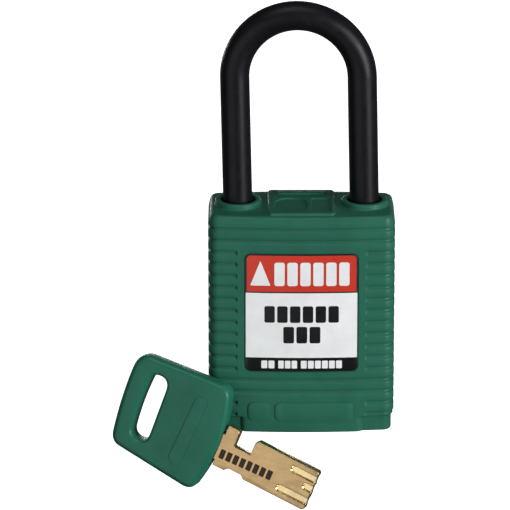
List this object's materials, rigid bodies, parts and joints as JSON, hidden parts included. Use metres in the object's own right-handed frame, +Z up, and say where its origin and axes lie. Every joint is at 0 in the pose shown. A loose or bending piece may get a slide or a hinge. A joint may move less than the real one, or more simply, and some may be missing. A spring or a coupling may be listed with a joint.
{
  "type": "safety padlock",
  "caption": "Safety padlock with a ribbed green plastic body, a long black non-conductive shackle, label plates and its flat brass key.",
  "frame": {"origin": "the shackle's inner crown, in the middle of the loop, where the lock hangs on a hasp", "axes": "+Z up along the shackle's legs, +X from the heel leg towards the toe leg, -Y out of the labelled front face"},
  "size_m": [0.06, 0.0342, 0.1049],
  "materials": {
    "green_plastic": "moulded glass-filled nylon, satin",
    "black_plastic": "moulded nylon rod, satin",
    "front_print": "printed plate, red, white and black panels",
    "back_print": "printed plate with plain writing lines",
    "brass": "machined, satin",
    "zinc_casting": "as cast zinc alloy",
    "steel": "plain",
    "spring_steel": "drawn wire"
  },
  "bodies": {
    "root": {"body_shell": "green_plastic", "bottom_cover": "green_plastic", "cover_pin_front_left": "steel", "cover_pin_back_right": "steel", "front_label": "front_print", "back_label": "back_print", "cylinder_housing": "zinc_casting", "bolt_carrier": "zinc_casting", "shackle_spring": "spring_steel"},
    "plunger": {"spring_plunger": "brass"},
    "shackle": {"shackle": "black_plastic", "heel_retaining_clip": "steel"},
    "plug": {"cylinder_plug": "brass", "plug_retaining_clip": "steel", "spring_cap": "brass", "drive_cam": "steel", "slider_spring_1": "spring_steel", "slider_spring_2": "spring_steel", "slider_spring_3": "spring_steel", "slider_spring_4": "spring_steel", "slider_spring_5": "spring_steel", "slider_spring_6": "spring_steel"},
    "toe_bolt": {"toe_latch_bolt": "steel"},
    "heel_bolt": {"heel_latch_bolt": "steel"},
    "sidebar_front": {"sidebar_front": "steel"},
    "sidebar_back": {"sidebar_back": "steel"},
    "key": {"key_bow": "green_plastic", "key_blade": "brass"},
    "slider_1": {"slider_1": "steel"},
    "slider_2": {"slider_2": "steel"},
    "slider_3": {"slider_3": "steel"},
    "slider_4": {"slider_4": "steel"},
    "slider_5": {"slider_5": "steel"},
    "slider_6": {"slider_6": "steel"}
  },
  "joints": [
    {"name": "shackle_lift", "type": "slide", "parent": "root", "child": "plunger", "axis": [0, 0, 1], "range_m": [0, 0.012], "deforming": ["shackle_spring"]},
    {"name": "shackle_swing", "type": "hinge", "parent": "plunger", "child": "shackle", "pos_m": [-0.0134, 0, 0], "axis": [0, 0, 1], "continuous": true},
    {"name": "plug_turn", "type": "hinge", "parent": "root", "child": "plug", "pos_m": [0, 0, -0.0714], "axis": [0, 0, 1], "range_deg": [0, 90]},
    {"name": "toe_bolt_slide", "type": "slide", "parent": "root", "child": "toe_bolt", "axis": [1, 0, 0], "range_m": [0, 0.0024]},
    {"name": "heel_bolt_slide", "type": "slide", "parent": "root", "child": "heel_bolt", "axis": [-1, 0, 0], "range_m": [0, 0.0024]},
    {"name": "sidebar_front_slide", "type": "slide", "parent": "plug", "child": "sidebar_front", "axis": [0, -1, 0], "range_m": [0, 0.0007]},
    {"name": "sidebar_back_slide", "type": "slide", "parent": "plug", "child": "sidebar_back", "axis": [0, 1, 0], "range_m": [0, 0.0007]},
    {"name": "slider_1_lift", "type": "slide", "parent": "plug", "child": "slider_1", "axis": [0, 0, 1], "range_m": [0, 0.004], "deforming": ["slider_spring_1"]},
    {"name": "slider_2_lift", "type": "slide", "parent": "plug", "child": "slider_2", "axis": [0, 0, 1], "range_m": [0, 0.0019], "deforming": ["slider_spring_2"]},
    {"name": "slider_3_lift", "type": "slide", "parent": "plug", "child": "slider_3", "axis": [0, 0, 1], "range_m": [0, 0.0008], "deforming": ["slider_spring_3"]},
    {"name": "slider_4_lift", "type": "slide", "parent": "plug", "child": "slider_4", "axis": [0, 0, 1], "range_m": [0, 0.0033], "deforming": ["slider_spring_4"]},
    {"name": "slider_5_lift", "type": "slide", "parent": "plug", "child": "slider_5", "axis": [0, 0, 1], "range_m": [0, 0.0026], "deforming": ["slider_spring_5"]},
    {"name": "slider_6_lift", "type": "slide", "parent": "plug", "child": "slider_6", "axis": [0, 0, 1], "range_m": [0, 0.0012], "deforming": ["slider_spring_6"]},
    {"name": "key_turn_up", "type": "hinge", "parent": "root", "child": "key", "pos_m": [-0.00842, -0.0098, -0.09949], "axis": [0.8266, -0.0868, 0.5561], "range_deg": [0, 196.43]}
  ],
  "couplings": [
    {"joint": "toe_bolt_slide", "follows": "plug_turn", "m_per_rad": 0.0015279},
    {"joint": "heel_bolt_slide", "follows": "plug_turn", "m_per_rad": 0.0015279},
    {"joint": "sidebar_back_slide", "follows": "sidebar_front_slide", "ratio": 1},
    {"joint": "slider_2_lift", "follows": "slider_1_lift", "ratio": 0.475},
    {"joint": "slider_3_lift", "follows": "slider_1_lift", "ratio": 0.2},
    {"joint": "slider_4_lift", "follows": "slider_1_lift", "ratio": 0.825},
    {"joint": "slider_5_lift", "follows": "slider_1_lift", "ratio": 0.65},
    {"joint": "slider_6_lift", "follows": "slider_1_lift", "ratio": 0.3}
  ]
}
